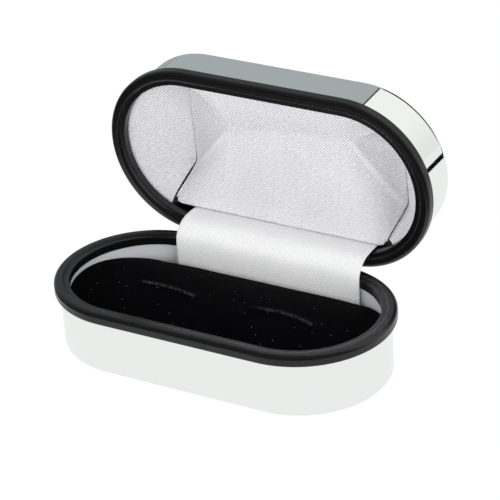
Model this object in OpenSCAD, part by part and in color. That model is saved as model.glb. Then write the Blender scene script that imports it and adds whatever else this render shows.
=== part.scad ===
// Hinged display box for a pair of cufflinks: two round-ended metal shells with
// plastic rims, a flocked pad with two slits in the base and a satin lining in the lid.
// The lid is drawn open. +X runs to the right along the box, +Y to the hinge, +Z up.
// The origin is the middle of the underside of the base.

/* [Outline] */
// Length of both rims over their outer faces
rim_length = 88; // [74:1:120]
// Depth of both rims from front to back
rim_depth = 45; // [40:1:60]
// Height of the base from its underside to the face of its rim
base_height = 17.3; // [15:0.1:30]
// Height of the lid from the face of its rim to its far side
lid_height = 14.5; // [13:0.1:26]

/* [Shells] */
// Thickness of the pressed metal
shell_wall = 0.6; // [0.4:0.1:1]
// How far the metal stands back from the outer face of the rims
shell_inset = 1.4; // [1.1:0.1:2]
// Outer radius of the closed edge of each shell
edge_round = 1.6; // [1:0.1:3]

/* [Rims] */
// Width of the rim bead seen from above
rim_width = 3.8; // [3.4:0.1:5]
// Height of the outer flank of the rim
rim_height = 2.9; // [2.5:0.1:4]
// Height of the inner face of the rim
rim_inner_height = 2.5; // [1.6:0.1:2.7]
// Radius of the outer top corner of the bead
rim_outer_round = 1; // [0.4:0.1:1.2]
// Radius of the inner top corner of the bead
rim_inner_round = 0.8; // [0.3:0.1:1]
// Width of the low lip along the inner edge
lip_width = 1.1; // [0.3:0.1:1.4]
// How far the lip lies below the face of the bead
lip_drop = 0.45; // [0.3:0.05:0.8]
// Thickness of the skirt that goes down inside the metal
skirt_wall = 0.55; // [0.4:0.05:0.8]
// Length of the skirt below the bead
skirt_length = 3; // [2:0.1:4]
// How far the edge of the metal goes up into the bead
groove_depth = 1.3; // [0.8:0.1:1.6]
// Gap between the two rims when the box is shut
rim_gap = 0.1; // [0.05:0.05:0.4]

/* [Hinge] */
// How far the lid opens, in degrees
open_angle = 86.5; // [70:0.5:110]
// Length of the hinge along the back
hinge_width = 36; // [24:1:40]
// Thickness of the hinge steel
leaf_wall = 0.5; // [0.3:0.05:0.6]
// Radius of the hinge pin
pin_r = 0.5; // [0.4:0.05:0.7]
// How far the pin's middle lies behind the rims
pin_behind = 0.15; // [0.1:0.05:1]
// How far the pin's middle lies below the face of the base rim
pin_below = 1.5; // [1.4:0.05:2]
// Number of knuckles, the base holding the outer ones
knuckles = 5; // [3:2:7]
// How far each leaf reaches into its shell from the pin
leaf_reach = 8; // [7.5:0.5:9]
// Distance of the rivets from the pin
rivet_reach = 6.2; // [5.9:0.1:6.4]
// Thickness of the snap spring
spring_wall = 0.25; // [0.15:0.05:0.3]
// Width of the snap spring
spring_width = 10; // [6:0.5:14]

/* [Ribbon and lining] */
// Width of the satin strip over the hinge
ribbon_width = 51; // [42:0.5:56]
// Thickness of the satin strip with its backing
ribbon_wall = 0.3; // [0.2:0.05:0.5]
// How far the strip stands in from the inner face of the rims
ribbon_stand = 1.4; // [1:0.1:2]
// Radius of the strip where it turns over the hinge
ribbon_round = 6; // [4.5:0.1:7]
// How far the strip and the lid lining sit to the right of the middle
lining_shift = 2; // [0:0.5:3]
// Thickness of the lining card
card_wall = 0.7; // [0.4:0.1:1]
// Thickness of the satin on the card
satin_wall = 0.3; // [0.2:0.05:0.4]
// Length of the middle panel of the lid lining
panel_length = 58.6; // [48:0.2:62]
// Length of the fold line in the middle of that panel
fold_length = 35; // [24:0.5:44]
// Depth of the fold line below the face of the lid rim
fold_depth = 10.8; // [7:0.1:11.5]
// Distance of the fold line from the middle, towards the front of the lid
fold_offset = 3.2; // [0:0.1:6]
// Depth of the long edges of the panel below the face of the lid rim
panel_edge_depth = 3.4; // [2.8:0.1:5]
// Slot between the middle panel and each end flap
flap_slot = 0.9; // [0.4:0.1:1.5]

/* [Pad] */
// Thickness of the card liner inside the base wall
liner_wall = 0.5; // [0.3:0.05:0.6]
// Thickness of the board under the foam
board_wall = 1; // [0.6:0.1:2]
// Depth of the crown of the pad below the face of the rim
crown_depth = 3.2; // [2.6:0.1:6]
// Fall of the pad from its crown to its long edges
crown_fall = 3.4; // [0.5:0.1:4]
// Fall of the pad from its crown to its ends
end_fall = 0.9; // [0:0.1:2]
// Thickness of the flocked cover
flock_wall = 0.5; // [0.3:0.1:0.8]
// Length of each slit
slit_length = 17.5; // [12:0.5:20]
// Width of each slit
slit_width = 0.6; // [0.4:0.1:1.2]
// Depth of each slit below the crown
slit_depth = 7; // [5:0.5:9]
// Distance between the middles of the two slits
slit_spacing = 33.6; // [26:0.2:40]

/* [Hidden] */
$fn = 96;
fit_gap = 0.05;
part_gap = 0.3;
far = 200;

// Outline of the box
half_straight = (rim_length - rim_depth) / 2;
rim_r = rim_depth / 2;
rim_in = rim_r - rim_width;
shell_r = rim_r - shell_inset;
skirt_out = shell_r - shell_wall - fit_gap;
skirt_in = skirt_out - skirt_wall;
liner_out = skirt_in - fit_gap;
liner_in = liner_out - liner_wall;

// Hinge
pin_y = rim_r + pin_behind;
bore_r = pin_r + fit_gap;
knuckle_r = bore_r + leaf_wall;
knuckle_gap = 0.2;
knuckle_pitch = hinge_width / knuckles;
pin_head_r = 0.8;
pin_head_t = 0.4;
hinge_half = hinge_width / 2 + pin_head_t + part_gap;
leaf_back = rim_in + 0.25;
leaf_front = leaf_back - leaf_wall;
boss_half = hinge_half + 0.8;
boss_foot = 0.5;
tongue_low = pin_below + knuckle_r + fit_gap;
lid_pin = -pin_below - rim_gap;
rivet_r = 0.7;
rivet_head_r = 1.3;
rivet_head_t = 0.3;
rivet_spacing = hinge_width / 3;
rivet_end = skirt_out - fit_gap;

// Snap spring: an arc tangent to both leaves, as wide as clears their edges
spring_mid = pin_y - leaf_front + spring_wall / 2;
spring_low = knuckle_r - leaf_wall;
spring_r = spring_mid + spring_low * sin(open_angle) / (1 - cos(open_angle));
spring_y = pin_y + spring_r - spring_mid;
spring_flat = leaf_reach - spring_low;

// Ribbon, clear of the rims where its right edge reaches their round ends
ribbon_over = max(0, ribbon_width / 2 + lining_shift - half_straight);
ribbon_face = min(rim_in - ribbon_stand, sqrt(pow(rim_in, 2) - pow(ribbon_over, 2)) - 0.4);
ribbon_turn = ribbon_round + rim_in - ribbon_stand - ribbon_face;
ribbon_y = ribbon_face + ribbon_turn;
ribbon_tail = 7;
ribbon_lean = 7;
strip_steps = 24;

// Pad
board_top = shell_wall + fit_gap + board_wall;
pad_r = liner_in - 0.25;
pad_back = ribbon_face - 0.3;
pad_half_length = half_straight + pad_r;
pad_steps = 12;

// Lid lining, in the lid's own closed place: z is the depth below the face of its rim
panel_half = panel_length / 2;
fold_half = fold_length / 2;
layer = card_wall + satin_wall;
lid_floor = lid_height - shell_wall;
end_depth = lid_floor - fit_gap - layer;
end_low = 10;
end_high = -13;
crease = 0.4;
lining_r = skirt_in - 0.2;
panel_edge = ribbon_face - 0.6;
panel_rows = 5;
flap_depth = rim_inner_height + 0.4;
flap_short = 7;
flap_cols = 5;
flap_steps = 20;

// Outline of the box, drawn as a flat shape at a given distance from its spine
module outline(r) {
    square([2 * half_straight, 2 * r], center = true);
    for (side = [-1, 1]) translate([side * half_straight, 0]) circle(r);
}

// Sweeps a section round the outline: x is the distance from the spine, y the height
module sweep_round() {
    for (turn = [0, 180]) rotate(turn) {
        translate([half_straight, 0]) rotate(-90) rotate_extrude(angle = 180) children();
        translate([-half_straight, 0]) rotate([90, 0, 90]) linear_extrude(2 * half_straight) children();
    }
}

// Carries a piece from its closed place on the base to the open lid.
// Its z counts upwards from the face of the lid rim.
module on_open_lid() {
    translate([0, pin_y, base_height - pin_below])
        rotate([-open_angle, 0, 0])
            translate([0, -pin_y, pin_below + rim_gap])
                children();
}

// Carries a piece whose z counts upwards from the face of the base rim
module on_base_rim() {
    translate([0, 0, base_height]) children();
}

// What is cut away to round a corner of radius r at the origin of the first quadrant
module corner_waste(r) {
    difference() {
        translate([-1, -1]) square(r + 1);
        translate([r, r]) circle(r);
    }
}

// Half section of a cup of radius r with a rounded closed edge
module cup_section(r, h, edge) {
    square([r - edge, h]);
    translate([0, edge]) square([r, h - edge]);
    translate([r - edge, edge]) circle(edge);
}

module shell_section(h) {
    difference() {
        cup_section(shell_r, h, edge_round);
        translate([0, shell_wall])
            cup_section(shell_r - shell_wall, h, edge_round - shell_wall);
    }
}

// A pressed shell, standing on its closed side. Its edge is cut down where the hinge
// tongues cross it, when cut is above zero.
module shell(total, cut) {
    edge = total - rim_height + groove_depth - fit_gap;
    difference() {
        sweep_round() shell_section(edge);
        if (cut > 0)
            translate([-hinge_half, 0, total - cut]) cube([2 * hinge_half, far, cut]);
    }
}

// Section of a rim with its face at y = 0, drawn downwards
module rim_section() {
    difference() {
        union() {
            difference() {
                translate([rim_in + lip_width, -rim_height])
                    square([rim_width - lip_width, rim_height]);
                translate([rim_r, 0]) rotate(180) corner_waste(rim_outer_round);
                translate([rim_in + lip_width, 0]) rotate(-90) corner_waste(rim_inner_round);
                translate([rim_r, -rim_height]) rotate(90) corner_waste(0.5);
            }
            difference() {
                translate([rim_in, -rim_inner_height])
                    square([lip_width + rim_inner_round, rim_inner_height - lip_drop]);
                translate([rim_in, -lip_drop]) rotate(-90) corner_waste(0.2);
            }
            translate([skirt_in, -rim_height - skirt_length])
                square([skirt_wall, skirt_length + rim_height - rim_inner_height]);
        }
        translate([0, -rim_height - 1]) square([skirt_in, rim_height - rim_inner_height + 1]);
        translate([skirt_out, -rim_height - far])
            square([shell_wall + 2 * fit_gap, far + groove_depth]);
    }
}

// A whole rim with the thick part of its skirt that the hinge leaf is riveted to.
// pin is how far the pin's middle lies below its face. The bead stops short on both
// sides of the pin where the pin lies below the face.
module rim(pin) {
    top = pin > 0 ? tongue_low : rim_inner_height - 0.2;
    low = pin + leaf_reach + boss_foot;
    difference() {
        union() {
            sweep_round() rim_section();
            translate([0, 0, -low]) linear_extrude(low - top) intersection() {
                translate([-boss_half, leaf_back]) square([2 * boss_half, far]);
                outline(skirt_out);
            }
        }
        if (pin > 0)
            translate([-hinge_half, 0, -top]) cube([2 * hinge_half, far, far]);
        translate([-hinge_half, 0, -far]) cube([2 * hinge_half, leaf_back, 2 * far]);
        translate([0, 0, -pin]) rivet_places() rotate([-90, 0, 0])
            cylinder(r = rivet_r + fit_gap, h = rivet_end + 1 - leaf_front);
    }
}

// Places of the three rivets of a leaf, at the front of that leaf
module rivet_places() {
    for (i = [-1, 0, 1])
        translate([i * rivet_spacing, leaf_front, -rivet_reach]) children();
}

// Base leaf with its knuckles, seen from the face of the base rim. The lid leaf is the
// same shape with the other knuckles, turned over.
module leaf(first) {
    plate_h = leaf_reach - spring_low;
    difference() {
        union() {
            translate([-hinge_width / 2, leaf_front, -spring_low - plate_h])
                cube([hinge_width, leaf_wall, plate_h]);
            for (i = [first:2:knuckles - 1])
                translate([-hinge_width / 2 + i * knuckle_pitch + knuckle_gap / 2, 0, 0]) {
                    translate([0, leaf_front, -knuckle_r])
                        cube([knuckle_pitch - knuckle_gap, pin_y - leaf_front, leaf_wall]);
                    translate([0, pin_y, 0]) rotate([0, 90, 0])
                        cylinder(r = knuckle_r, h = knuckle_pitch - knuckle_gap);
                }
        }
        translate([-far / 2, pin_y, 0]) rotate([0, 90, 0]) cylinder(r = bore_r, h = far);
        rivet_places() rotate([-90, 0, 0])
            cylinder(r = rivet_r + fit_gap, h = 2 * leaf_wall);
    }
}

// Three rivets through a leaf and the rim behind it. The middle one also holds the spring.
module rivets() {
    for (i = [-1, 0, 1]) {
        lift = i == 0 ? spring_wall : 0;
        translate([i * rivet_spacing, leaf_front - lift - rivet_head_t, -rivet_reach])
            rotate([-90, 0, 0]) {
                cylinder(r = rivet_head_r, h = rivet_head_t);
                cylinder(r = rivet_r, h = rivet_end - leaf_front + lift + rivet_head_t);
            }
    }
}

module base_shell() {
    color("white") shell(base_height, tongue_low);
}

module base_rim() {
    color([0.1, 0.1, 0.1]) on_base_rim() rim(pin_below);
}

// Card band inside the base wall, cut out round the hinge
module base_liner() {
    top = base_height - rim_inner_height - fit_gap;
    low = pin_below + leaf_reach + boss_foot + part_gap;
    color([0.75, 0.77, 0.79]) difference() {
        translate([0, 0, shell_wall + fit_gap]) linear_extrude(top - shell_wall - fit_gap)
            difference() {
                outline(liner_out);
                outline(liner_in);
            }
        translate([-boss_half - part_gap, 0, base_height - low])
            cube([2 * (boss_half + part_gap), far, low]);
        // Clears the rounded inside edge of the shell
        difference() {
            linear_extrude(edge_round) outline(liner_out + 1);
            linear_extrude(edge_round) outline(liner_out - liner_wall / 2);
        }
    }
}

module pad_board() {
    color("burlywood") translate([0, 0, shell_wall + fit_gap])
        linear_extrude(board_wall) outline(liner_in - 0.6);
}

// One point of the pad's plan at a share f of its size. i runs round both ends, and
// back is where the pad stops short of the ribbon.
function pad_plan(i, f, r, back) =
    let (right = i <= pad_steps, turn = right ? -90 + 180 * i / pad_steps
                                              : 90 + 180 * (i - pad_steps - 1) / pad_steps)
    [(right ? 1 : -1) * half_straight + f * r * cos(turn), f * min(back, r * sin(turn))];

// Height of the top of the pad, with the given drop below the velvet
function pad_top(p, drop) =
    base_height - crown_depth - drop
    - crown_fall * pow(abs(p[1]) / pad_back, 2.2)
    - end_fall * pow(abs(p[0]) / pad_half_length, 4);

// A crowned body on the pad's plan, drawn in by shrink and lowered by drop, from floor up
module pad_body(shrink, drop, floor) {
    r = pad_r - shrink;
    back = pad_back - shrink;
    shares = [0.02, 0.3, 0.55, 0.78, 0.95];
    count = 2 * pad_steps + 2;
    crown = [for (f = shares, i = [0:count - 1])
        let (p = pad_plan(i, f, r, back)) [p[0], p[1], pad_top(p, drop)]];
    side = [for (s = [[1, 0.9], [1, 3.5]], i = [0:count - 1])
        let (p = pad_plan(i, s[0], r, back)) [p[0], p[1], pad_top(p, drop) - s[1]]];
    foot = [for (i = [0:count - 1]) let (p = pad_plan(i, 0.985, r, back)) [p[0], p[1], floor]];
    points = concat(crown, side, foot);
    rings = len(shares) + 3;
    walls = [for (k = [0:rings - 2], i = [0:count - 1])
        let (a = k * count + i, b = k * count + (i + 1) % count)
        each [[a, b, b + count], [a, b + count, a + count]]];
    top = [for (i = [1:count - 2]) [0, i + 1, i]];
    last = (rings - 1) * count;
    under = [for (i = [1:count - 2]) [last, last + i, last + i + 1]];
    polyhedron(points, concat(walls, top, under));
}

// The two slits, as cutters from a given height up
module slits(width, low) {
    for (side = [-1, 1]) translate([side * slit_spacing / 2, 0, low])
        linear_extrude(far) {
            square([slit_length - width, width], center = true);
            for (end = [-1, 1]) translate([end * (slit_length - width) / 2, 0]) circle(width / 2);
        }
}

module pad_foam() {
    color([0.25, 0.25, 0.25]) difference() {
        pad_body(flock_wall, flock_wall, board_top);
        slits(slit_width + 2 * flock_wall, base_height - crown_depth - slit_depth);
    }
}

// Flocked cover, tucked down into both slits
module pad_velvet() {
    low = base_height - crown_depth - slit_depth;
    color([0.02, 0.02, 0.02]) difference() {
        pad_body(0, 0, board_top);
        difference() {
            pad_body(flock_wall, flock_wall, board_top - 1);
            slits(slit_width + 2 * flock_wall, low);
        }
        slits(slit_width, low + flock_wall);
    }
}

module base_hinge_leaf() {
    color("silver") on_base_rim() translate([0, 0, -pin_below]) leaf(0);
}

module base_leaf_rivets() {
    color("silver") on_base_rim() translate([0, 0, -pin_below]) rivets();
}

module hinge_pin() {
    color("gray") translate([0, pin_y, base_height - pin_below]) rotate([0, 90, 0]) {
        cylinder(r = pin_r, h = hinge_width + 2 * fit_gap, center = true);
        for (side = [-1, 1])
            translate([0, 0, side * (hinge_width / 2 + fit_gap + pin_head_t / 2)])
                cylinder(r = pin_head_r, h = pin_head_t, center = true);
    }
}

// One side of a bent strip, at a distance r from the middle of its arc
function strip_side(r, bend, low, high) =
    let (end = [cos(180 - bend), sin(180 - bend)])
    [[-r, -low],
     for (i = [0:strip_steps]) r * [cos(180 - bend * i / strip_steps), sin(180 - bend * i / strip_steps)],
     r * end + high * [end[1], -end[0]]];

// A strip bent about the X axis by a given angle, with a flat tail at both ends.
// r is its outer radius, low the length of the lower tail and high that of the upper one.
module bent_strip(r, wall, width, bend, low, high) {
    outer = strip_side(r, bend, low, high);
    inner = strip_side(r - wall, bend, low, high);
    rotate([90, 0, 90]) linear_extrude(width, center = true)
        polygon(concat(outer, [for (i = [len(inner) - 1:-1:0]) inner[i]]));
}

// Bowed strip between the two leaves. It snaps the lid open and shut.
module snap_spring() {
    face = spring_r + spring_wall / 2;
    color("lightsteelblue")
        translate([0, spring_y, base_height - pin_below - spring_low]) difference() {
            bent_strip(face, spring_wall, spring_width, open_angle, spring_flat, spring_flat);
            // Holes for the middle rivet of each leaf
            translate([0, -face - 1, spring_low - rivet_reach]) rotate([-90, 0, 0])
                cylinder(r = rivet_r + fit_gap, h = spring_wall + 2);
            rotate([-open_angle, 0, 0])
                translate([0, -face - 1, rivet_reach - spring_low]) rotate([-90, 0, 0])
                    cylinder(r = rivet_r + fit_gap, h = spring_wall + 2);
        }
}

// Satin strip over the hinge, from behind the pad to behind the edge of the lid lining
module hinge_ribbon() {
    color([0.93, 0.93, 0.94]) translate([lining_shift, ribbon_y, base_height - pin_below])
        bent_strip(ribbon_turn, ribbon_wall, ribbon_width, open_angle + ribbon_lean,
            leaf_reach + 1.5, ribbon_tail);
}

module lid_shell() {
    color("silver") on_open_lid() translate([0, 0, lid_height]) mirror([0, 0, 1])
        shell(lid_height, 0);
}

module lid_rim() {
    color([0.1, 0.1, 0.1]) on_open_lid() mirror([0, 0, 1]) rim(lid_pin);
}

// The lid leaf is the base leaf turned over about the pin
module lid_hinge_leaf() {
    color("silver") on_open_lid() translate([0, 0, lid_pin]) mirror([0, 0, 1]) leaf(1);
}

module lid_leaf_rivets() {
    color("silver") on_open_lid() translate([0, 0, lid_pin]) mirror([0, 0, 1])
        rivets();
}

// Half depth of the lid's hollow at a distance x from the middle of the box
function hollow_half(x) = sqrt(pow(lining_r, 2) - pow(max(0, abs(x) - half_straight), 2));

// Where the folds of the middle panel lie: t is 0 along the fold line and 1 at both ends
function fold_share(x) = max(0, min(1, (abs(x) - fold_half) / (panel_half - fold_half)));
function fold_low(t) = -fold_offset + crease + (end_low + fold_offset - crease) * t;
function fold_high(t) = -fold_offset - crease + (end_high + fold_offset + crease) * t;
function fold_bottom(t) = fold_depth + (end_depth - fold_depth) * t;

// Long edges of the panel at a place x of the box: at the front, and over the hinge
function edge_high(x) = -min(rim_in, hollow_half(x)) + part_gap;
function edge_low(x) = min(panel_edge, hollow_half(x) - part_gap);

// Place of row k of the panel at a distance x from its middle, as [y, depth].
// Rows 0 and 5 are the long edges, and rows 2 and 3 run along the folds.
function panel_row(x, k) =
    let (t = fold_share(x), edge = edge_low(x + lining_shift), top = edge_high(x + lining_shift),
         high = fold_high(t), low = fold_low(t), deep = fold_bottom(t))
    k == 0 ? [top, panel_edge_depth] :
    k == 1 ? [(high + top) / 2, panel_edge_depth + (deep - panel_edge_depth) * 0.52] :
    k == 2 ? [high, deep] :
    k == 3 ? [low, deep] :
    k == 4 ? [(low + edge) / 2, panel_edge_depth + (deep - panel_edge_depth) * 0.48] :
             [edge, panel_edge_depth];

// A sheet of given thickness behind a grid of points, seen along the depth
module sheet(grid, start, thick) {
    rows = len(grid);
    cols = len(grid[0]);
    count = rows * cols;
    points = [for (z = [start, start + thick], row = grid, p = row) [p[0], p[1], p[2] + z]];
    function at(side, r, c) = side * count + r * cols + c;
    faces = [
        for (r = [0:rows - 2], c = [0:cols - 2]) each [
            [at(0, r, c), at(0, r + 1, c), at(0, r + 1, c + 1)],
            [at(0, r, c), at(0, r + 1, c + 1), at(0, r, c + 1)],
            [at(1, r, c), at(1, r + 1, c + 1), at(1, r + 1, c)],
            [at(1, r, c), at(1, r, c + 1), at(1, r + 1, c + 1)]],
        for (r = [0:rows - 2]) each [
            [at(0, r, 0), at(1, r, 0), at(1, r + 1, 0)],
            [at(0, r, 0), at(1, r + 1, 0), at(0, r + 1, 0)],
            [at(0, r, cols - 1), at(1, r + 1, cols - 1), at(1, r, cols - 1)],
            [at(0, r, cols - 1), at(0, r + 1, cols - 1), at(1, r + 1, cols - 1)]],
        for (c = [0:cols - 2]) each [
            [at(0, 0, c), at(1, 0, c + 1), at(1, 0, c)],
            [at(0, 0, c), at(0, 0, c + 1), at(1, 0, c + 1)],
            [at(0, rows - 1, c), at(1, rows - 1, c), at(1, rows - 1, c + 1)],
            [at(0, rows - 1, c), at(1, rows - 1, c + 1), at(0, rows - 1, c + 1)]]
    ];
    polyhedron(points, faces);
}

// Columns of the panel: four over each end and eight along the fold line
panel_x = [for (i = [0:3]) -panel_half + (panel_half - fold_half) * i / 4,
           for (i = [0:8]) fold_half * (i / 4 - 1),
           for (i = [1:4]) fold_half + (panel_half - fold_half) * i / 4];
panel_grid = [for (k = [0:panel_rows]) [for (x = panel_x)
    let (p = panel_row(x, k)) [x + lining_shift, p[0], p[1]]]];

module lid_pad_card() {
    color("tan") on_open_lid() sheet(panel_grid, satin_wall, card_wall);
}

module lid_pad_satin() {
    color("white") on_open_lid() sheet(panel_grid, 0, satin_wall);
}

// Depth of the side of the middle panel at x, which the inner edge of a flap follows
function seam_depth(x, y) =
    let (low = (y - end_low) / (edge_low(x) - end_low), high = (end_high - y) / (end_high - edge_high(x)))
    end_depth - (end_depth - panel_edge_depth) * max(0, min(1, max(low, high)));

// Grid of an end flap: from its round edge behind the rim to its straight inner edge.
// side is -1 for the left flap and 1 for the right one. It stops short of the hinge side.
function flap_grid(side) =
    let (seam = side * (panel_half + flap_slot) + lining_shift,
         reach = acos((abs(seam) - half_straight) / lining_r))
    [for (i = [0:flap_steps]) [for (k = [0:flap_cols])
        let (s = 2 * i / flap_steps - 1, turn = s * (s < 0 ? reach : reach - flap_short), f = k / flap_cols,
             outer = [side * (half_straight + lining_r * cos(turn)), lining_r * sin(turn), flap_depth],
             y = outer[1] - s * part_gap * 2,
             inner = [seam, y, seam_depth(seam, y)])
        outer + (inner - outer) * f]];

module flap(side, start, thick) {
    on_open_lid() sheet(side < 0 ? flap_grid(-1) : [for (row = flap_grid(1)) [for (k = [0:flap_cols])
        row[flap_cols - k]]], start, thick);
}

module left_flap_card() {
    color("tan") flap(-1, satin_wall, card_wall);
}

module left_flap_satin() {
    color("white") flap(-1, 0, satin_wall);
}

module right_flap_card() {
    color("tan") flap(1, satin_wall, card_wall);
}

module right_flap_satin() {
    color("white") flap(1, 0, satin_wall);
}

base_shell();
base_rim();
base_liner();
pad_board();
pad_foam();
pad_velvet();
base_hinge_leaf();
base_leaf_rivets();
hinge_pin();
snap_spring();
hinge_ribbon();
lid_shell();
lid_rim();
lid_hinge_leaf();
lid_leaf_rivets();
lid_pad_card();
lid_pad_satin();
left_flap_card();
left_flap_satin();
right_flap_card();
right_flap_satin();
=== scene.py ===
# Open display box for cufflinks: plated shells with black rims, a slit velvet pad,
# a satin strip over the hinge and a folded satin lining in the lid.
# Lengths in the making of the pieces are millimetres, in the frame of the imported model.
import math

import bpy
from mathutils import Matrix, Vector, noise
from mathutils.bvhtree import BVHTree


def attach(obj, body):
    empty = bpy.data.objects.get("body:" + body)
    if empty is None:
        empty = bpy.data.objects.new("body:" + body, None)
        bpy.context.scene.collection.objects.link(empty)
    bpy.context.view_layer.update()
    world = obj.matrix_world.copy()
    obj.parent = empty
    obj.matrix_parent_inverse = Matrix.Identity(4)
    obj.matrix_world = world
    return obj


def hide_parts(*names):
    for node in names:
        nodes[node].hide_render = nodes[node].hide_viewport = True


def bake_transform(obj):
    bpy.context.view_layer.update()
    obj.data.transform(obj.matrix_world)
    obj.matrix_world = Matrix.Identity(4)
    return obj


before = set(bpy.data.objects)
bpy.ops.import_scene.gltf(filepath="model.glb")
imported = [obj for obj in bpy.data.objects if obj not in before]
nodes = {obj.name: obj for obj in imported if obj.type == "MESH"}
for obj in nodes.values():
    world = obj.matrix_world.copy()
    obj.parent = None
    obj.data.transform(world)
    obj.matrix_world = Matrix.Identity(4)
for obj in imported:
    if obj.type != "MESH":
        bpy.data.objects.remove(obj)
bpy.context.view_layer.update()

MM = 0.001

# Sizes of the box, as in the model's source
BASE_HEIGHT = 17.3
HALF_STRAIGHT = 21.5
WALL_R = 22.5
PIN_Y = 22.65
PIN_Z = 15.8
FACE_OVER_PIN = 1.6
OPENED = math.radians(86.5)
LINING_SHIFT = 2.0
LINING_R = 19.7
RIM_IN = 18.7
PAD_R = 19.1
PAD_BACK = 17.0
PAD_HALF = HALF_STRAIGHT + PAD_R
CROWN_DEPTH = 3.2
CROWN_FALL = 3.4
END_FALL = 0.9
SLIT_MIDDLE = 16.4
SLIT_HALF = 8.2
PANEL_HALF = 29.3
PANEL_FOOT = 16.7
FLAP_SLOT = 0.9
FLAP_DEPTH = 2.9
FOLD_HALF = 17.5
FOLD_DEPTH = 10.8
FOLD_Y = -3.2
END_DEPTH = 12.85
END_LOW = 10.0
END_HIGH = -13.0
EDGE_DEPTH = 3.4
RIBBON_HALF = 25.5

# The lining's satin: its thickness, its room before its cards, and how it lies on them
CLOTH = 0.25
CARD_ROOM = 0.27
CORNER_R = 1.6
ROLL_R = 0.35
SEAM_LEAN = 1.9
SEAM_TOP = -16.85
VALLEY_TURN = 4.2
VALLEY_LIFT = 0.6
VALLEY_LIFT_RIGHT = 1.1
RIDGE_OFF = 0.5
RIDGE_HALF = 0.8

# How the velvet lies at the slits and over the edge of the pad
SLIT_DEPTH = 4.0
SLIT_PULL_LEFT = 1.4
SLIT_PULL_RIGHT = 0.8
LIP_HEIGHT = 0.55
SIDE_INSET = 0.25
BOARD_TOP = 1.65

# Twill of the satin: its pitch in metres, and its direction on the cloth
TWILL_PITCH = 0.00051
TWILL_ACROSS = 0.67
TWILL_ALONG = 0.74


# Camera
def make_camera():
    """The camera as fitted to the outlines of both rims. Angles are in radians."""
    azimuth, elevation, roll = 0.563071, 0.510127, 0.074290
    aim_side, aim_up = -0.011937, 0.014820
    away = 0.602830
    focal_pixels, picture_pixels, sensor = 2528.414, 500, 36
    back = Vector((math.sin(azimuth) * math.cos(elevation),
                   -math.cos(azimuth) * math.cos(elevation), math.sin(elevation)))
    ahead = -back
    right = ahead.cross(Vector((0, 0, 1))).normalized()
    up = right.cross(ahead)
    turn = Matrix.Rotation(aim_side, 3, up)
    ahead, right = turn @ ahead, turn @ right
    turn = Matrix.Rotation(aim_up, 3, right)
    ahead, up = turn @ ahead, turn @ up
    turn = Matrix.Rotation(roll, 3, ahead)
    right, up = turn @ right, turn @ up
    data = bpy.data.cameras.new("camera")
    data.sensor_width = sensor
    data.lens = focal_pixels * sensor / picture_pixels
    data.clip_start, data.clip_end = 0.05, 20
    camera = bpy.data.objects.new("camera", data)
    stand = back * away + Vector((0, 0, BASE_HEIGHT * MM))
    turned = Matrix((right, up, -ahead)).transposed().to_4x4()
    camera.matrix_world = Matrix.Translation(stand) @ turned
    bpy.context.scene.collection.objects.link(camera)
    bpy.context.scene.camera = camera


# Materials
class Wire:
    """A number or a vector on its way through a material. Arithmetic on it adds Math nodes."""

    def __init__(self, tree, socket):
        self.tree, self.socket = tree, socket

    def maths(self, operation, *others, clamp=False):
        node = self.tree.nodes.new("ShaderNodeMath")
        node.operation, node.use_clamp = operation, clamp
        for slot, value in zip(node.inputs, others):
            if isinstance(value, Wire):
                self.tree.links.new(value.socket, slot)
            else:
                slot.default_value = value
        return Wire(self.tree, node.outputs[0])

    def __add__(self, other):
        return self.maths("ADD", self, other)

    def __sub__(self, other):
        return self.maths("SUBTRACT", self, other)

    def __rsub__(self, other):
        return self.maths("SUBTRACT", other, self)

    def __mul__(self, other):
        return self.maths("MULTIPLY", self, other)

    def __truediv__(self, other):
        return self.maths("DIVIDE", self, other)

    def __gt__(self, other):
        return self.maths("GREATER_THAN", self, other)

    def __lt__(self, other):
        return self.maths("LESS_THAN", self, other)

    __radd__ = __add__
    __rmul__ = __mul__

    def power(self, exponent):
        return self.maths("POWER", self, exponent)

    def sine(self):
        return self.maths("SINE", self)

    def size(self):
        return self.maths("ABSOLUTE", self)

    def most(self, other):
        return self.maths("MAXIMUM", self, other)

    def clamped(self):
        return self.maths("ADD", self, 0.0, clamp=True)

    def between(self, low, high):
        """0 below low, 1 above high, smooth between them."""
        share = self.maths("DIVIDE", self - low, high - low, clamp=True)
        return share * share * (3.0 - 2.0 * share)


class Look:
    """A node tree of a material or of the world."""

    def __init__(self, tree):
        self.tree = tree
        tree.nodes.clear()

    def add(self, kind, settings=None, sockets=None, out=0):
        """Adds a node of a kind, and gives the wire from its output number out."""
        node = self.tree.nodes.new(kind)
        for name, value in (settings or {}).items():
            setattr(node, name, value)
        for name, value in (sockets or {}).items():
            slot = node.inputs[name]
            if isinstance(value, Wire):
                self.tree.links.new(value.socket, slot)
            else:
                slot.default_value = value
        return Wire(self.tree, node.outputs[out]) if len(node.outputs) else None

    def blend(self, share, first, second):
        """Mixes two colours."""
        return self.add("ShaderNodeMix", {"data_type": "RGBA"},
                        {0: share, 6: first, 7: second}, out=2)

    def grain(self, place, scale, detail=3.0, rough=0.5):
        return self.add("ShaderNodeTexNoise", None,
                        {"Vector": place, "Scale": scale, "Detail": detail, "Roughness": rough})

    def along(self, place, axis):
        return self.add("ShaderNodeSeparateXYZ", None, {"Vector": place}, out=axis)

    def place(self, output=3):
        """Texture coordinates: 3 are the object's own, 2 the cloth's, 0 a direction of the world."""
        return self.add("ShaderNodeTexCoord", out=output)

    def bump(self, height, strength, depth):
        return self.add("ShaderNodeBump", None,
                        {"Height": height, "Strength": strength, "Distance": depth})


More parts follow.
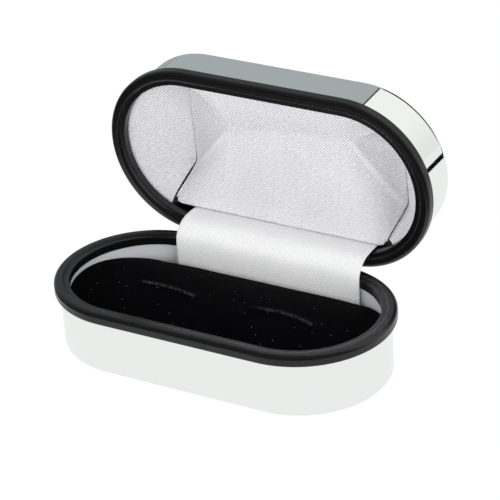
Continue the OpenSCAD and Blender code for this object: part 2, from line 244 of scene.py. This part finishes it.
def finish_of(name, paint):
    """A material whose surface is one Principled shader, with the sockets that paint returns."""
    material = bpy.data.materials.new(name)
    material.use_nodes = True
    look = Look(material.node_tree)
    surface = look.add("ShaderNodeBsdfPrincipled", None, paint(look))
    look.add("ShaderNodeOutputMaterial", None, {"Surface": surface})
    return material


def tone(red, green=None, blue=None):
    """A colour, or a grey where one number is given."""
    return (red, red if green is None else green, red if blue is None else blue, 1.0)


def plated_metal(look):
    place = look.place()
    cloud = look.grain(place, 60.0)
    fine = look.grain(place, 900.0)
    wave = look.grain(place, 30.0, 1.0)
    return {"Base Color": look.blend(cloud, tone(0.885, 0.905, 0.895), tone(0.925, 0.94, 0.93)),
            "Metallic": 1.0,
            "Roughness": 0.035 + 0.03 * cloud + 0.015 * fine,
            "Normal": look.bump(wave, 0.25, 0.0004)}


def black_plastic(look):
    place = look.place()
    fine = look.grain(place, 2600.0)
    cloud = look.grain(place, 120.0)
    speck = look.add("ShaderNodeTexVoronoi", None, {"Vector": place, "Scale": 260.0}) < 0.035
    rare = look.grain(place, 90.0, 1.0) > 0.62
    return {"Base Color": look.blend(speck * rare, tone(0.004, 0.004, 0.0045), tone(0.35)),
            "Roughness": 0.22 + 0.12 * cloud,
            "Specular IOR Level": 0.5,
            "Normal": look.bump(fine, 0.25, 0.00005)}


def satin(dark, light, level, shown):
    """White satin between two tones, on the whole at level between them. Shown gives how
    plainly its twill is seen at a place. The mesh's painted shade darkens it where it lies away
    from the light and, where negative, lightens it as a painted highlight."""
    def paint(look):
        cloth = look.place(2)
        across, along = look.along(cloth, 0), look.along(cloth, 1)
        drift = look.grain(cloth, 110.0, 2.0) * 1.6
        rate = 2 * math.pi / TWILL_PITCH
        twill = ((across * TWILL_ACROSS + along * TWILL_ALONG) * rate + drift).sine()
        drawn = {"X": across * 0.5, "Y": along * 1.6, "Z": 0.0}
        thread = look.grain(look.add("ShaderNodeCombineXYZ", None, drawn), 2200.0, 2.0)
        cloud = look.grain(cloth, 70.0)
        patch = look.grain(cloth, 110.0, 1.0).between(0.35, 0.65)
        amount = shown(look, look.place()) * (0.45 + 0.55 * patch)
        # The mesh's painted shade: it darkens the panel's end triangles and, where negative, is a
        # painted highlight along their ridges.
        tone_and_painted_shade = look.add("ShaderNodeAttribute", {"attribute_name": "tone_and_painted_shade"}, out=2)
        shade = level - tone_and_painted_shade * 0.4 + twill * amount + 1.3 * (thread - 0.5) + 0.3 * (cloud - 0.5)
        return {"Base Color": look.blend(shade.clamped(), dark, light),
                "Roughness": 0.42 + 0.12 * thread,
                "Sheen Weight": 0.1, "Sheen Roughness": 0.4,
                "Normal": look.bump(twill * 0.5 + thread, 0.6, 0.0001)}
    return paint


def seen_high(look, place):
    """The twill's contrast is painted stronger on the lid's upper slope, as painted sheen."""
    return 0.3 + 0.65 * look.along(place, 2).between(0.036, 0.046)


def seen_low(look, place):
    """The strip's twill shows most low down."""
    return 1.3 - 0.95 * look.along(place, 2).between(0.014, 0.021)


def black_velvet(look):
    """Velvet with specks of lint, and a painted highlight along the lip behind each slit."""
    place, cloth = look.place(), look.place(2)
    pile = look.grain(place, 3200.0, 2.0)
    tone_and_painted_shade = look.grain(place, 130.0)
    across, along = look.along(cloth, 0), look.along(cloth, 1)
    dots = {"Vector": cloth, "Scale": 420.0}
    flat = {"voronoi_dimensions": "2D"}
    rare = look.along(look.add("ShaderNodeTexVoronoi", flat, dots, out=1), 0) > 0.86
    speck = (look.add("ShaderNodeTexVoronoi", flat, dots) < 0.06) * rare
    beside = (across.size() - SLIT_MIDDLE * MM).size()
    # Painted highlight: lighter pile in patches along the raised lip behind each slit.
    lip = (along * 1000.0).between(0.1, 0.35) * (1.0 - (along * 1000.0).between(0.45, 0.9))
    lip = lip * (1.0 - (beside * 1000.0).between(SLIT_HALF - 1.2, SLIT_HALF + 0.2))
    painted_lip_highlight = lip * (0.25 + 1.5 * look.grain(cloth, 1500.0, 2.0).between(0.4, 0.7))
    dark = look.blend(tone_and_painted_shade, tone(0.0012, 0.0012, 0.0018), tone(0.0028, 0.0028, 0.0034))
    dark = look.blend(painted_lip_highlight.clamped(), dark, tone(0.045, 0.045, 0.048))
    return {"Base Color": look.blend(speck, dark, tone(0.10, 0.10, 0.11)),
            "Roughness": 0.95,
            "Specular IOR Level": 0.02,
            "Sheen Weight": 0.012, "Sheen Roughness": 0.3,
            "Normal": look.bump(pile, 0.6, 0.0002)}


def liner_card(look):
    place = look.place()
    fibre = look.grain(place, 700.0)
    cloud = look.grain(place, 50.0)
    return {"Base Color": look.blend(cloud, tone(0.68, 0.69, 0.74), tone(0.75, 0.76, 0.80)),
            "Roughness": 0.38 + 0.1 * fibre,
            "Normal": look.bump(fibre, 0.2, 0.00005)}


def fibre_board(dark, light):
    def paint(look):
        fibre = look.grain(look.place(), 500.0, 5.0)
        return {"Base Color": look.blend(fibre, dark, light),
                "Roughness": 0.85,
                "Normal": look.bump(fibre, 0.4, 0.0001)}
    return paint


def dark_foam(look):
    place = look.place()
    cell = look.add("ShaderNodeTexVoronoi", None, {"Vector": place, "Scale": 1500.0})
    return {"Base Color": look.blend(cell.clamped(), tone(0.01), tone(0.035)),
            "Roughness": 0.95,
            "Normal": look.bump(cell, 0.5, 0.0002)}


def hinge_steel(look):
    place = look.place()
    stretched = look.add("ShaderNodeMapping", None, {"Vector": place, "Scale": (0.06, 1.0, 1.0)})
    brush = look.grain(stretched, 2600.0, 2.0)
    return {"Base Color": look.blend(brush, tone(0.50, 0.50, 0.49), tone(0.64, 0.64, 0.63)),
            "Metallic": 1.0,
            "Roughness": 0.26 + 0.14 * brush,
            "Normal": look.bump(brush, 0.25, 0.00004)}


def spring_steel(look):
    place = look.place()
    brush = look.grain(place, 1200.0, 2.0)
    return {"Base Color": look.blend(brush, tone(0.30, 0.32, 0.37), tone(0.42, 0.44, 0.50)),
            "Metallic": 1.0,
            "Roughness": 0.28 + 0.1 * brush,
            "Normal": look.bump(brush, 0.2, 0.00003)}


METAL = finish_of("plated_metal", plated_metal)
PLASTIC = finish_of("black_plastic", black_plastic)
# The lining's twill carries painted sheen on its upper slope, and its colour the mesh's painted
# shade.
SATIN = finish_of("lining_satin", satin(tone(0.51, 0.505, 0.54), tone(0.85, 0.845, 0.875),
                                        0.5, seen_high))
STRIP = finish_of("strip_satin", satin(tone(0.78, 0.78, 0.79), tone(1.0), 0.64, seen_low))
VELVET = finish_of("black_velvet", black_velvet)
LINER = finish_of("liner_card", liner_card)
BOARD = finish_of("grey_board", fibre_board(tone(0.36, 0.32, 0.26), tone(0.52, 0.47, 0.39)))
# The lid's cards are near black as painted shade, so the gaps where they show between the satin
# pieces look dark.
CARD = finish_of("card_black_as_painted_shade", fibre_board(tone(0.008), tone(0.022)))
FOAM = finish_of("dark_foam", dark_foam)
HINGE = finish_of("hinge_steel", hinge_steel)
SPRING = finish_of("spring_steel", spring_steel)

FINISHES = {
    "base_shell": METAL, "lid_shell": METAL, "base_rim": PLASTIC, "lid_rim": PLASTIC,
    "base_liner": LINER, "pad_board": BOARD, "pad_foam": FOAM,
    "base_hinge_leaf": HINGE, "lid_hinge_leaf": HINGE, "hinge_pin": HINGE,
    "base_leaf_rivets": HINGE, "lid_leaf_rivets": HINGE, "snap_spring": SPRING,
    "lid_pad_card": CARD, "left_flap_card": CARD, "right_flap_card": CARD,
    "lid_pad_satin": SATIN, "left_flap_satin": SATIN, "right_flap_satin": SATIN,
    "hinge_ribbon": STRIP, "pad_velvet": VELVET,
}


# Making of the soft pieces
def on_lid(x, y, depth):
    """A point of the shut lid, given by its depth behind the face of the rim, on the open lid."""
    ahead, over = y - PIN_Y, depth + FACE_OVER_PIN
    return Vector((x, PIN_Y + math.cos(OPENED) * ahead + math.sin(OPENED) * over,
                   PIN_Z - math.sin(OPENED) * ahead + math.cos(OPENED) * over))


def smooth(low, high, value):
    """0 at low, 1 at high, smooth between them."""
    share = max(0.0, min(1.0, (value - low) / (high - low)))
    return share * share * (3 - 2 * share)


def soft_least(a, b, width):
    """The lesser of two numbers, rounded where they are within width of each other."""
    near = max(width - abs(a - b), 0.0) / width
    return min(a, b) - near * near * width / 4


def hump(value, width):
    """1 at 0, falling off at about width."""
    return math.exp(-(value / width) ** 2)


def ripple(x, y, size, seed):
    return noise.noise(Vector((x / size, y / size, seed)))


def spread(low, high, count):
    return [low + (high - low) * i / count for i in range(count + 1)]


def grid_normals(points):
    rows, cols = len(points), len(points[0])
    normals = []
    for r in range(rows):
        line = []
        for c in range(cols):
            down = points[min(r + 1, rows - 1)][c] - points[max(r - 1, 0)][c]
            side = points[r][min(c + 1, cols - 1)] - points[r][max(c - 1, 0)]
            line.append(side.cross(down).normalized())
        normals.append(line)
    return normals


def edge_of(rows, cols):
    """The places round the edge of a grid, as rows and columns."""
    edge = [(0, c) for c in range(cols)]
    edge += [(r, cols - 1) for r in range(1, rows)]
    edge += [(rows - 1, c) for c in range(cols - 2, -1, -1)]
    edge += [(r, 0) for r in range(rows - 2, 0, -1)]
    return edge


def new_piece(name, vertices, faces, uvs, material, tone_and_painted_shade=None):
    mesh = bpy.data.meshes.new(name)
    mesh.from_pydata([v * MM for v in vertices], [], faces)
    layer = mesh.uv_layers.new(name="cloth")
    for loop in mesh.loops:
        layer.data[loop.index].uv = uvs[loop.vertex_index]
    # The painted shade of each point, kept in a mesh attribute for the satin.
    if tone_and_painted_shade:
        mesh.attributes.new("tone_and_painted_shade", "FLOAT", "POINT").data.foreach_set("value", tone_and_painted_shade)
    mesh.materials.append(material)
    mesh.validate()
    mesh.shade_smooth()
    piece = bpy.data.objects.new(name, mesh)
    bpy.context.scene.collection.objects.link(piece)
    return piece


def cloth_from(name, points, thick, material, facing, rolled=False, tone_and_painted_shade=None):
    """A sheet of even thickness over a grid of points, whose front faces the side that
    facing points to. The cloth coordinates are those of the wall it lies on, or follow the
    lengths along the grid where the sheet is rolled."""
    rows, cols = len(points), len(points[0])
    normals = grid_normals(points)
    middle = normals[rows // 2][cols // 2]
    sign = 1 if middle.dot(facing) > 0 else -1
    across = [[0.0] * cols for _ in range(rows)]
    along = [[0.0] * cols for _ in range(rows)]
    for r in range(rows):
        for c in range(cols):
            if c:
                across[r][c] = across[r][c - 1] + (points[r][c] - points[r][c - 1]).length
            if r:
                along[r][c] = along[r - 1][c] + (points[r][c] - points[r - 1][c]).length
    half = [line[-1] / 2 for line in across]
    vertices, uvs = [], []
    for layer in (0.0, thick):
        for r in range(rows):
            for c in range(cols):
                vertices.append(points[r][c] - normals[r][c] * (sign * layer))
                uvs.append(((across[r][c] - half[r]) * MM, along[r][c] * MM) if rolled
                           else (points[r][c].x * MM, -points[r][c].z * MM))
    count = rows * cols

    def at(layer, r, c):
        return layer * count + r * cols + c
    faces = []
    for r in range(rows - 1):
        for c in range(cols - 1):
            quad = [at(0, r, c), at(0, r + 1, c), at(0, r + 1, c + 1), at(0, r, c + 1)]
            back = [i + count for i in reversed(quad)]
            faces += [quad, back] if sign < 0 else [quad[::-1], back[::-1]]
    rim = edge_of(rows, cols)
    for (r0, c0), (r1, c1) in zip(rim, rim[1:] + rim[:1]):
        side = [at(0, r0, c0), at(0, r1, c1), at(1, r1, c1), at(1, r0, c0)]
        faces.append(side if sign < 0 else side[::-1])
    return new_piece(name, vertices, faces, uvs, material, tone_and_painted_shade and tone_and_painted_shade * 2)


LID_DEEP = Vector((0, math.sin(OPENED), math.cos(OPENED)))


def before_card(points, node_name, room):
    """Draws the points of a cloth that come nearer than room to its card out before it."""
    mesh = nodes[node_name].data
    tree = BVHTree.FromPolygons([v.co / MM for v in mesh.vertices],
                                [list(p.vertices) for p in mesh.polygons])
    for line in points:
        for i, point in enumerate(line):
            place = tree.ray_cast(point - LID_DEEP * 30, LID_DEEP)[0]
            if place is not None:
                far = (place - point).dot(LID_DEEP)
                line[i] = point + LID_DEEP * (far + soft_least(-far, -room, 0.3))


# Middle panel of the lid lining
def hollow_half(x):
    """Half the width of the lid's hollow at x."""
    return math.sqrt(LINING_R ** 2 - max(0.0, abs(x) - HALF_STRAIGHT) ** 2)


def panel_top(x):
    return -min(RIM_IN, hollow_half(x)) + 0.3


def panel_low(x):
    corner = max(0.0, abs(x - LINING_SHIFT) - (PANEL_HALF - CORNER_R))
    rounded = CORNER_R - math.sqrt(max(0.0, CORNER_R ** 2 - min(corner, CORNER_R) ** 2))
    return min(PANEL_FOOT, hollow_half(x) - 0.3) - 0.7 * rounded + 0.12 * ripple(x, 0, 11, 3)


def lean(y):
    """How far the seams of the lining lean to the left towards its lower edge."""
    return -SEAM_LEAN * smooth(END_LOW - 1.5, PANEL_FOOT + 1, y)


def slopes(x, y, fold_y, fold_depth):
    """Depths of the panel's upper slope, lower slope and end triangle at a place, and the
    heights and the share of the way to the end at which the triangle lies."""
    share = max(0.0, min(1.0, (abs(x) - FOLD_HALF) / (PANEL_HALF - FOLD_HALF)))
    deep = fold_depth + (END_DEPTH - fold_depth) * share
    high = fold_y + (END_HIGH - fold_y) * share
    low = fold_y + (END_LOW - fold_y) * share
    top = panel_top(x + LINING_SHIFT)
    upper = EDGE_DEPTH + (deep - EDGE_DEPTH) * (y - top) / (high - top)
    lower = EDGE_DEPTH + (deep - EDGE_DEPTH) * (PANEL_FOOT - y) / (PANEL_FOOT - low)
    return upper, lower, deep, high, low, share


def panel_shape(x, y):
    """Depth of the front of the satin at a place of the panel, x from the panel's middle, and
    its painted shade, which darkens its end triangles and, negative, is a painted highlight
    along their ridges. The satin spans the valley of its card, more so on the right, and has
    a ridge along each long side of its end triangles."""
    card = min(slopes(x, y, FOLD_Y, FOLD_DEPTH)[:3])
    right = smooth(-FOLD_HALF, FOLD_HALF, x)
    fold_y = FOLD_Y - VALLEY_TURN * right
    fold_depth = FOLD_DEPTH - VALLEY_LIFT - VALLEY_LIFT_RIGHT * right
    upper, lower, deep, high, low, share = slopes(x, y, fold_y, fold_depth)
    depth = soft_least(soft_least(upper, lower, 1.1), deep, 0.5)
    depth -= 0.18 * math.sin(math.pi * smooth(panel_top(x + LINING_SHIFT), high, y)) * (1 - share)
    depth -= 0.22 * math.sin(math.pi * smooth(low, PANEL_FOOT, y))
    depth += 0.16 * ripple(x, y, 9, 1) + 0.05 * ripple(x, y, 3.5, 2) - 0.1
    ridge = hump(y - high + RIDGE_OFF, RIDGE_HALF) + hump(y - low - RIDGE_OFF, RIDGE_HALF)
    ridge *= smooth(0, 0.15, share) * (1 - 0.35 * share)
    depth -= ridge * (0.6 if x > 0 else 0.35)
    inside = smooth(0, 0.8, min(y - high, low - y))
    # Painted shade inside the end triangles, less near the panel's ends, and a painted highlight
    # along the ridges.
    tone_and_painted_shade = inside * (0.8 if x > 0 else 0.85) * (1 - 0.6 * smooth(0.75, 1, share)) - 0.9 * ridge
    return soft_least(depth, card - 0.02, 0.2), tone_and_painted_shade


def make_panel():
    xs = spread(-PANEL_HALF, PANEL_HALF, 128)
    rows = []
    for f in spread(0, 1, 84):
        line = []
        for x in xs:
            top, foot = panel_top(x + LINING_SHIFT), panel_low(x + LINING_SHIFT)
            y = top + (foot - top) * f
            depth, tone_and_painted_shade = panel_shape(x, y)
            line.append((x + lean(y) * (x / PANEL_HALF) ** 2 + LINING_SHIFT, y, depth, tone_and_painted_shade))
        rows.append(line)

    def rolled(point, out_x, out_y, turn):
        """A point on the rolled edge of the cloth. Turn 0 is its front and 1 is outermost, and
        past 1 it goes in again and down."""
        angle = turn * math.pi / 2
        reach = ROLL_R * math.sin(angle)
        return (point[0] + out_x * reach, point[1] + out_y * reach,
                point[2] + ROLL_R * (1 - math.cos(angle)) + max(0.0, turn - 1) * 0.9, point[3])
    turns = (0.35, 0.7, 1.0, 1.6, 2.0)
    wide_rows = []
    for line in rows:
        left = [rolled(line[0], -1, 0, t) for t in reversed(turns)]
        right = [rolled(line[-1], 1, 0, t) for t in turns]
        wide_rows.append(left + line + right)
    last_row = wide_rows[-1]
    for t in turns:
        wide_rows.append([rolled(p, 0, 1, t) for p in last_row])
    points = [[on_lid(*p[:3]) for p in line] for line in wide_rows]
    for card in ("lid_pad_card", "left_flap_card"):
        before_card(points, card, CARD_ROOM)
    # The panel carries its painted shade and painted highlight as a mesh attribute.
    piece = cloth_from("lid_panel_satin", points, CLOTH, SATIN, Vector((0, -1, 0)),
                       tone_and_painted_shade=[p[3] for line in wide_rows for p in line])
    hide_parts("lid_pad_satin")
    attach(piece, "lid")
    return piece


# End flaps of the lid lining
def seam_depth(y):
    """Depth of the seam between a flap and the panel."""
    low = (y - END_LOW) / (PANEL_FOOT - END_LOW)
    high = (END_HIGH - y) / (END_HIGH - SEAM_TOP)
    return END_DEPTH - (END_DEPTH - EDGE_DEPTH) * max(0.0, min(1.0, max(low, high)))


def make_flap(name, side):
    """A flap from the end of the lid's hollow to a seam of the panel, on the left where side
    is -1. It is cut a little short at its lower end."""
    seam = side * (PANEL_HALF + FLAP_SLOT) + LINING_SHIFT
    reach = math.acos((abs(seam) - HALF_STRAIGHT) / LINING_R)
    short = math.radians(7 if side < 0 else 2)
    rows = []
    for s in spread(-1, 1, 64):
        turn = s * (reach if s < 0 else reach - short)
        outer = Vector((side * (HALF_STRAIGHT + LINING_R * math.cos(turn)),
                        LINING_R * math.sin(turn), FLAP_DEPTH))
        y = outer.y - 0.6 * s
        over = 0.42 - (0.55 * smooth(7, 13, y) if side < 0 else 0.2 * smooth(-2, 16, y))
        inner = Vector((seam - side * over + lean(y), y, seam_depth(y)))
        line = []
        for f in spread(0, 1, 30):
            p = outer.lerp(inner, f)
            p.z -= math.sin(math.pi * f) * (0.35 + 0.15 * ripple(p.x, p.y, 6, 4 + side))
            line.append(p)
        rows.append([on_lid(p.x, p.y, p.z) for p in line])
    for card in (name + "_flap_card", "lid_pad_card"):
        before_card(rows, card, CARD_ROOM)
    for line in rows:
        edge = line[-1]
        for t in (0.5, 1.0, 1.7, 2.4):
            angle = min(t, 1.0) * math.pi / 2
            down = 0.2 * (1 - math.cos(angle)) + max(0.0, t - 1) * 0.8
            line.append(edge + Vector((-side * 0.1 * math.sin(angle), 0, 0)) + LID_DEEP * down)
    piece = cloth_from(name + "_flap_cloth", rows, CLOTH, SATIN, Vector((0, -1, 0)))
    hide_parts(name + "_flap_satin")
    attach(piece, "lid")
    return piece


# Satin strip over the hinge, from inside the base wall up and back over the rim of the lid.
# Its stops are y and the height over the base rim
RIBBON_STOPS = [
    (17.4, -10.9), (17.33, -7.0), (17.4, -4.6), (17.47, -2.0), (17.7, 0.4), (18.4, 2.0),
    (19.8, 3.35), (21.9, 4.2), (25.0, 4.4), (28.0, 4.25), (30.4, 4.1)]
RIBBON_STEP = 0.45
RIBBON_CLOTH = 0.3


def spline(stops, step):
    """Evenly spaced points of a smooth curve through the stops."""
    fine = []
    ends = [stops[0] * 2 - stops[1]] + stops + [stops[-1] * 2 - stops[-2]]
    for a, b, c, d in zip(ends, ends[1:], ends[2:], ends[3:]):
        for i in range(24):
            t = i / 24
            fine.append(0.5 * (2 * b + (c - a) * t + (2 * a - 5 * b + 4 * c - d) * t ** 2
                               + (3 * b - a - 3 * c + d) * t ** 3))
    fine.append(stops[-1])
    lengths = [0.0]
    for a, b in zip(fine, fine[1:]):
        lengths.append(lengths[-1] + (b - a).length)
    count = round(lengths[-1] / step)
    places, i = [], 0
    for k in range(count + 1):
        want = lengths[-1] * k / count
        while i < len(fine) - 2 and lengths[i + 1] < want:
            i += 1
        share = (want - lengths[i]) / (lengths[i + 1] - lengths[i])
        places.append(fine[i].lerp(fine[i + 1], min(1.0, share)))
    return places


def make_ribbon():
    profile = spline([Vector((0, y, z + BASE_HEIGHT)) for y, z in RIBBON_STOPS], RIBBON_STEP)
    rows = []
    for k, p in enumerate(profile):
        fall = smooth(0, len(profile) - 1, k)
        line = []
        for x in spread(-RIBBON_HALF, RIBBON_HALF, 90):
            edge = smooth(RIBBON_HALF - 1.2, RIBBON_HALF, abs(x))
            lift = 0.12 * ripple(x, k * RIBBON_STEP, 9, 7) * math.sin(math.pi * min(1, fall * 1.1))
            stray = 0.2 * ripple(k * RIBBON_STEP, x * 0.01, 7, 8)
            line.append(Vector((x + LINING_SHIFT + stray,
                                p.y + lift * 0.6 - 0.05 * edge, p.z + lift - 0.06 * edge)))
        rows.append(line)
    piece = cloth_from("hinge_satin", rows[::-1], RIBBON_CLOTH, STRIP, Vector((0, -1, 0.6)), True)
    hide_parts("hinge_ribbon")
    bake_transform(piece)
    return piece


# Spring between the hinge leaves
def make_spring():
    """The plate of the model's spring, copied in spring steel."""
    mesh = nodes["snap_spring"].data.copy()
    mesh.materials.clear()
    mesh.materials.append(SPRING)
    piece = bpy.data.objects.new("spring_plate", mesh)
    bpy.context.scene.collection.objects.link(piece)
    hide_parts("snap_spring")
    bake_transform(piece)
    return piece


# Velvet pad with two slits. Its rows lie close by the slits, and its columns by their ends
ROWS_BESIDE = [2.1, 1.7, 1.35, 1.05, 0.8, 0.6, 0.45, 0.34, 0.27, 0.24]
ROWS_WITHIN = [-0.2, -0.1, 0.0, 0.1, 0.2]
ROWS_FROM = 2.4
COLUMN_STOPS = [0.0, 7.9, 8.25, 8.6, 25.0, 25.35, 25.7, PAD_HALF]
COLUMN_COUNTS = [12, 2, 2, 30, 2, 2, 22]
KEPT_X = 26
KEPT_Y = 3

# The side rolls over a round edge: how far out and how far down, and at last to the board
SIDE_STEPS = ((0.2, 0.12), (0.32, 0.4), (0.34, 0.9), (0.3, 2.2), (0.2, 4.5), (0.1, None))


def pad_rows():
    front = [-PAD_R * math.sin(math.pi / 2 * (1 - i / 26)) for i in range(26)]
    back = [PAD_BACK * math.sin(math.pi / 2 * i / 22) for i in range(1, 23)]
    ys = [y for y in front if y < -ROWS_FROM] + [-y for y in ROWS_BESIDE]
    return ys + ROWS_WITHIN + ROWS_BESIDE[::-1] + [y for y in back if y > ROWS_FROM]


def pad_columns():
    xs = []
    for low, high, count in zip(COLUMN_STOPS, COLUMN_STOPS[1:], COLUMN_COUNTS):
        xs += spread(low, high, count)[:-1]
    xs.append(PAD_HALF)
    return [-x for x in reversed(xs[1:])] + xs


def pad_height(x, y):
    fall = CROWN_FALL * (abs(y) / PAD_BACK) ** 2.2 + END_FALL * (abs(x) / PAD_HALF) ** 4
    height = BASE_HEIGHT - CROWN_DEPTH - fall
    over = max(0.0, abs(abs(x) - SLIT_MIDDLE) - SLIT_HALF + 0.6)
    near = hump(max(0.0, abs(y) - 0.3), 1.1) * hump(over, 1.6)
    height += LIP_HEIGHT * near * (1 if y > 0 else 0.75)
    height += 0.10 * ripple(x, y, 7, 12) + 0.04 * ripple(x, y, 2.0, 13)
    return height


def slit_bend(x, y):
    """How far the cloth near a slit is pulled out of line, along and across the slit."""
    along = (abs(x) - SLIT_MIDDLE) * (1 if x > 0 else -1) / SLIT_HALF
    bend = -0.15 - 0.75 * along - (1.3 if x > 0 else 0.9) * along ** 2
    near = hump(y, 3.2) * (1 - smooth(1.0, 1.6, abs(along)))
    pull = SLIT_PULL_RIGHT if x > 0 else SLIT_PULL_LEFT
    return Vector((pull * near, bend * near, 0))


def slit_drop(x, y):
    """How far the cloth goes down into a slit."""
    inside = SLIT_HALF - abs(abs(x) - SLIT_MIDDLE)
    if abs(y) >= 0.25 or inside <= 0:
        return 0.0
    return SLIT_DEPTH * smooth(0, 0.35, inside) * (1 if abs(y) < 0.22 else 0.5)


def make_pad():
    """The points by the slits keep their places, and all others are drawn in to the round ends."""
    ys, xs = pad_rows(), pad_columns()
    rows, cols = len(ys), len(xs)
    vertices, uvs, faces = [], [], []
    for y in ys:
        wide = (HALF_STRAIGHT + math.sqrt(max(0.0, PAD_R ** 2 - y ** 2))) / PAD_HALF
        for x in xs:
            px = x * wide if abs(x) > KEPT_X or abs(y) > KEPT_Y else x
            z = pad_height(px, y) - slit_drop(px, y)
            vertices.append(Vector((px, y, z)) + slit_bend(px, y))
            uvs.append((px * MM, y * MM))
    for r in range(rows - 1):
        for c in range(cols - 1):
            a = r * cols + c
            faces.append([a, a + 1, a + cols + 1, a + cols])
    last = [r * cols + c for r, c in edge_of(rows, cols)]
    outline = [vertices[i].copy() for i in last]
    total = len(outline)
    for reach, drop in SIDE_STEPS:
        fresh = []
        for i, p in enumerate(outline):
            ahead = outline[(i + 1) % total] - outline[i - 1]
            out = Vector((ahead.y, -ahead.x, 0)).normalized()
            q = p + out * (reach - SIDE_INSET)
            q.z = BOARD_TOP if drop is None else max(BOARD_TOP + 0.1, p.z - drop)
            fresh.append(len(vertices))
            vertices.append(q)
            uvs.append((q.x * MM, q.y * MM))
        for i in range(total):
            j = (i + 1) % total
            faces.append([last[i], fresh[i], fresh[j], last[j]])
        last = fresh
    faces.append(last[::-1])
    piece = new_piece("velvet_pad", vertices, faces, uvs, VELVET)
    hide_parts("pad_velvet")
    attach(piece, "base")
    return piece


# Studio. The kinds of rays are the numbers of Light Path's outputs
CAMERA_RAY = 0
MATT_RAY = 2
GLOSSY_RAY = 3
PASSING_RAY = 6


def is_seen(look, *kinds):
    """1 for the rays of the given kinds."""
    path = None
    for kind in kinds:
        ray = look.add("ShaderNodeLightPath", out=kind)
        path = ray if path is None else path.most(ray)
    return path


def make_floor():
    """A pale floor. Mirrored, it is dark further off in front of the box and grey behind it on
    the left, with a black stripe on the right."""
    mesh = bpy.data.meshes.new("floor")
    mesh.from_pydata([(-6, -6, 0), (6, -6, 0), (6, 6, 0), (-6, 6, 0)], [], [(0, 1, 2, 3)])
    floor = bpy.data.objects.new("floor", mesh)
    bpy.context.scene.collection.objects.link(floor)
    material = bpy.data.materials.new("pale_floor")
    material.use_nodes = True
    look = Look(material.node_tree)
    place = look.place()
    x, y = look.along(place, 0), look.along(place, 1)
    beside = (x.size() - HALF_STRAIGHT * MM).most(0.0)
    away = (beside * beside + y * y).power(0.5) - WALL_R * MM
    dark = away.between(0.026, 0.040) * (y * -1.0).between(-0.03, 0.0)
    grey = (x * -1.0).between(0.06, 0.10) * y.between(0.02, 0.06)
    reach = x * 0.66 + y * 0.75
    stripe = (reach > 0.262) * (reach < 0.39)
    mirrored = look.blend(dark, tone(0.90, 0.91, 0.90), tone(0.03))
    mirrored = look.blend(grey, mirrored, tone(0.36, 0.40, 0.41))
    mirrored = look.blend(stripe, mirrored, tone(0.002))
    glow = look.blend(is_seen(look, MATT_RAY), tone(1.06), tone(1.5))
    glow = look.blend(is_seen(look, GLOSSY_RAY), glow, mirrored)
    plain = look.add("ShaderNodeEmission", None, {"Color": glow, "Strength": 1.0})
    matt = look.add("ShaderNodeBsdfDiffuse", None, {"Color": tone(0.9)})
    share = is_seen(look, CAMERA_RAY, PASSING_RAY) * 0.9 + is_seen(look, MATT_RAY, GLOSSY_RAY)
    look.add("ShaderNodeOutputMaterial", None, {
        "Surface": look.add("ShaderNodeMixShader", None, {0: share, 1: matt, 2: plain})})
    mesh.materials.append(material)


def make_world():
    """Even light all round, and white for the camera. Mirrored, it is a grey studio, darker in
    front, with a bright panel in a black frame behind the box. Both end on the left by x over
    y, and towards straight behind by y."""
    frame_left, frame_back = -0.272, 0.985
    bright_left, bright_back = -0.240, 0.800
    world = bpy.data.worlds.new("studio")
    bpy.context.scene.world = world
    world.use_nodes = True
    look = Look(world.node_tree)
    way = look.place(0)
    x, y, z = (look.along(way, i) for i in range(3))
    side = x / y.most(0.001)
    facing = y > 0.0
    frame_share = facing * (side > frame_left) * (y < frame_back)
    panel_share = facing * (side > bright_left) * (y < bright_back)
    wall = look.blend(z.between(0.55, 0.95), tone(0.395, 0.425, 0.44), tone(0.415, 0.43, 0.435))
    wall = look.blend((y * -1.0).between(-0.1, 0.4), wall, tone(0.16, 0.16, 0.155))
    framed = look.blend(frame_share, wall, tone(0.003))
    bright = look.blend(z.between(0.0, 0.6), tone(0.82, 0.845, 0.82), tone(0.95, 0.965, 0.93))
    seen = look.blend(panel_share, framed, bright)
    ambient = look.blend(is_seen(look, GLOSSY_RAY), tone(0.50), seen)
    shown = look.blend(is_seen(look, CAMERA_RAY), ambient, tone(1.0))
    sky = look.add("ShaderNodeBackground", None, {"Color": shown, "Strength": 1.0})
    look.add("ShaderNodeOutputWorld", None, {"Surface": sky})


LAMP_SIZE = 0.6
LAMPS = {
    "left": ((-0.80, -0.50, 0.15), 2.8),
    "right": ((0.90, -0.40, 0.15), 2.6),
    "right_high": ((0.75, -0.30, 0.60), 1.9),
    "front": ((0.15, -0.95, 0.15), 3.9),
    "top": ((0.10, 0.05, 0.95), 0.6),
}


def make_lamp(name, place, watts):
    """A round soft lamp that points at the box and isn't mirrored in it."""
    data = bpy.data.lights.new(name, "AREA")
    data.shape, data.size, data.energy = "DISK", LAMP_SIZE, watts
    lamp = bpy.data.objects.new(name, data)
    lamp.location = place
    lamp.rotation_mode = "QUATERNION"
    lamp.rotation_quaternion = (Vector((0, 0.01, 0.02)) - Vector(place)).to_track_quat("-Z", "Y")
    lamp.visible_glossy = False
    bpy.context.scene.collection.objects.link(lamp)


# The scene
bpy.context.scene.view_settings.view_transform = "Standard"
make_camera()
make_floor()
make_world()
for lamp_name, (lamp_place, lamp_watts) in LAMPS.items():
    make_lamp(lamp_name, lamp_place, lamp_watts)

for node_name, finish in FINISHES.items():
    node = nodes[node_name]
    node.data.materials.clear()
    node.data.materials.append(finish)

panel = make_panel()
left_flap = make_flap("left", -1)
right_flap = make_flap("right", 1)
ribbon = make_ribbon()
pad = make_pad()
make_spring()
